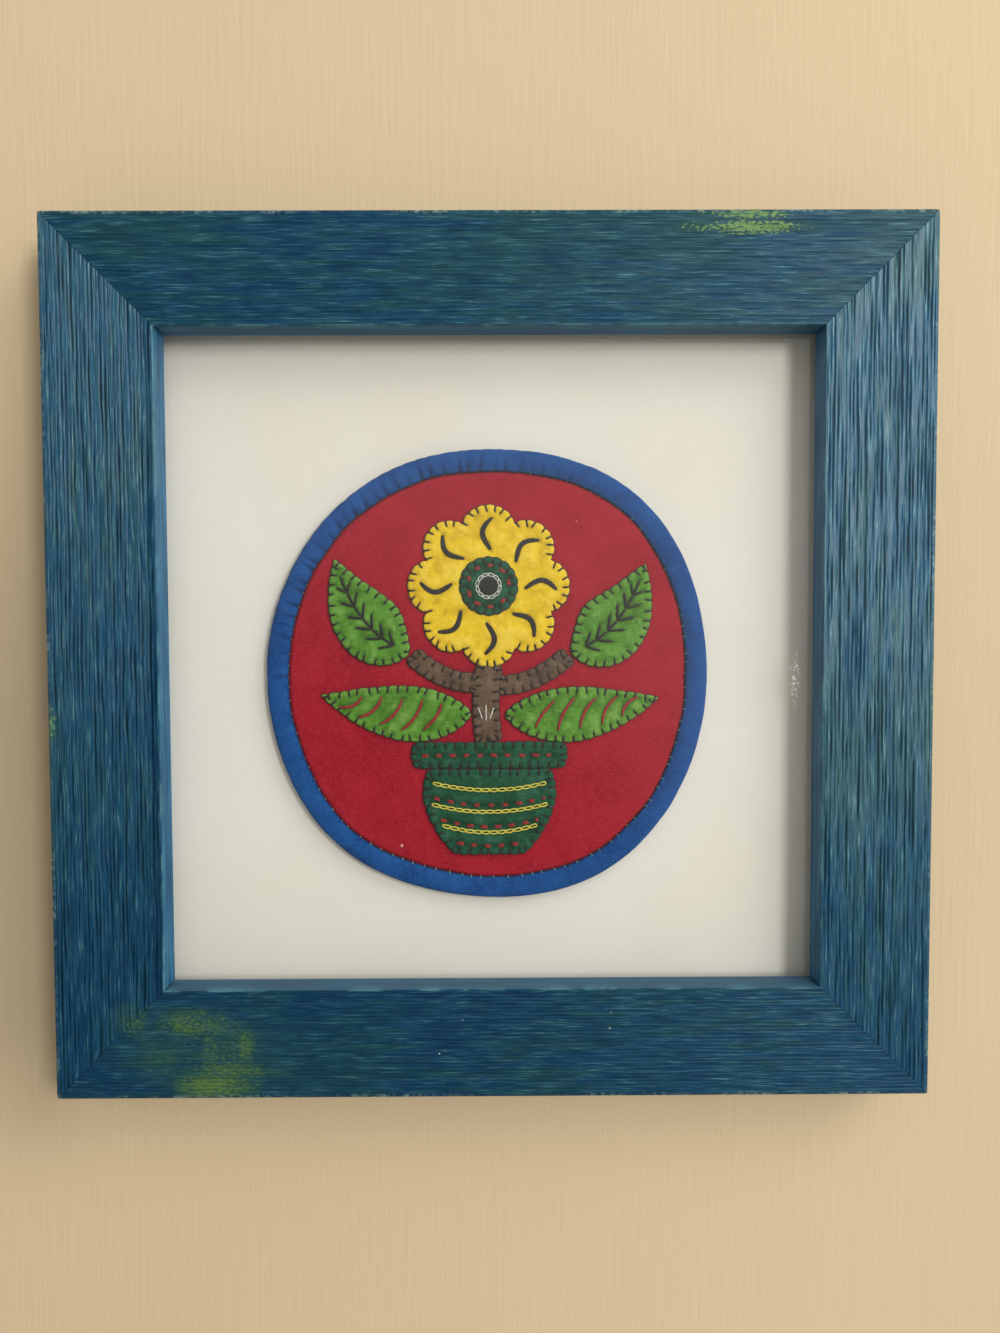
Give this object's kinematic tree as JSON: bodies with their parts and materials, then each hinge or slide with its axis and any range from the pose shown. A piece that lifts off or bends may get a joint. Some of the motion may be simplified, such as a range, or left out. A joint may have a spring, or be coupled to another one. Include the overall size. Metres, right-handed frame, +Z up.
{
  "type": "framed round applique textile panel",
  "caption": "Square combed wood picture frame with a smooth inner lip, holding a round stitched applique cloth patch with a folded binding on white card behind glass.",
  "frame": {"origin": "middle of the top rail's back face, where the panel bears on the wall", "axes": "+Z up, +X to the viewer's right, and the panel faces -Y; the wall is the plane y = 0"},
  "size_m": [0.262, 0.0243, 0.262],
  "materials": {
    "painted_wood": "satin",
    "clear_glass": "gloss",
    "white_card": "matte",
    "brown_board": "matte",
    "steel": "satin",
    "red_cloth": "matte",
    "blue_cloth": "matte",
    "yellow_cloth": "matte",
    "light_green_cloth": "matte",
    "dark_green_cloth": "matte",
    "brown_cloth": "matte",
    "black_thread": "matte",
    "white_thread": "matte",
    "yellow_thread": "matte",
    "red_thread": "matte",
    "pale_thread": "matte"
  },
  "bodies": {
    "root": {"rail_top": "painted_wood", "rail_right": "painted_wood", "rail_bottom": "painted_wood", "rail_left": "painted_wood", "glass_pane": "clear_glass", "mount_card": "white_card", "backing_board": "brown_board", "point_top_1": "steel", "point_top_2": "steel", "point_right_1": "steel", "point_right_2": "steel", "point_bottom_1": "steel", "point_bottom_2": "steel", "point_left_1": "steel", "point_left_2": "steel", "ground": "red_cloth", "binding": "blue_cloth", "stem": "brown_cloth", "branch_left": "brown_cloth", "branch_right": "brown_cloth", "leaf_low_left": "light_green_cloth", "leaf_low_right": "light_green_cloth", "leaf_high_left": "light_green_cloth", "leaf_high_right": "light_green_cloth", "pot": "dark_green_cloth", "pot_rim": "dark_green_cloth", "bloom": "yellow_cloth", "bloom_heart": "dark_green_cloth"}
  },
  "joints": []
}
